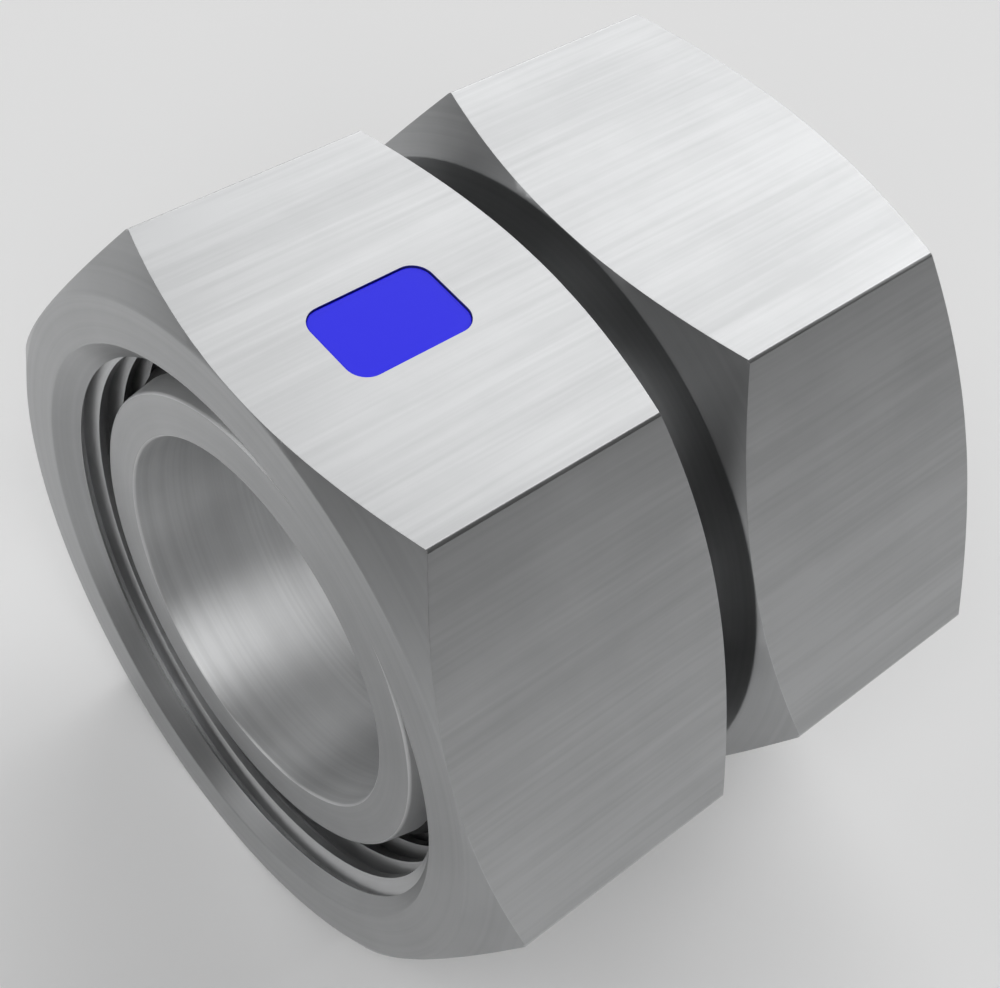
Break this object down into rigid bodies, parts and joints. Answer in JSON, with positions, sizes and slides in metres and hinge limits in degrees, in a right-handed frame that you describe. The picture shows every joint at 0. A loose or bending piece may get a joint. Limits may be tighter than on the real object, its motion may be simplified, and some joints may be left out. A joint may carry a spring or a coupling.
{
  "type": "hydraulic tube adapter",
  "caption": "Straight swivel adapter for hydraulic tube: a through-bored nipple with an O-ring cone nose at each end, carrying two hexagon swivel nuts back to back.",
  "frame": {"origin": "middle of the fitting, on its axis, halfway between the two nuts", "axes": "X along the bore, from the front nut (-X) to the back nut (+X); +Z out of the top flat, which bears the marking pocket; Y across the hexagon's corners"},
  "size_m": [0.0474, 0.0578, 0.05],
  "materials": {
    "plated_steel": "bright zinc-nickel plating over turned and milled steel",
    "turned_steel": "fine turned, plated",
    "spring_wire": "drawn spring steel",
    "black_rubber": "moulded nitrile, matt",
    "blue_enamel": "plain enamel field in a shallow pocket"
  },
  "bodies": {
    "nipple": {"nipple": "turned_steel", "o_ring_front": "black_rubber", "o_ring_back": "black_rubber"},
    "front_nut": {"swivel_nut_front": "plated_steel", "retaining_wire_front": "spring_wire"},
    "back_nut": {"swivel_nut_back": "plated_steel", "retaining_wire_back": "spring_wire"}
  },
  "joints": [
    {"name": "front_nut_swivel", "type": "hinge", "parent": "nipple", "child": "front_nut", "pos_m": [-0.0016, 0, 0], "axis": [-1, 0, 0], "continuous": true},
    {"name": "back_nut_swivel", "type": "hinge", "parent": "nipple", "child": "back_nut", "pos_m": [0.0016, 0, 0], "axis": [1, 0, 0], "continuous": true}
  ]
}
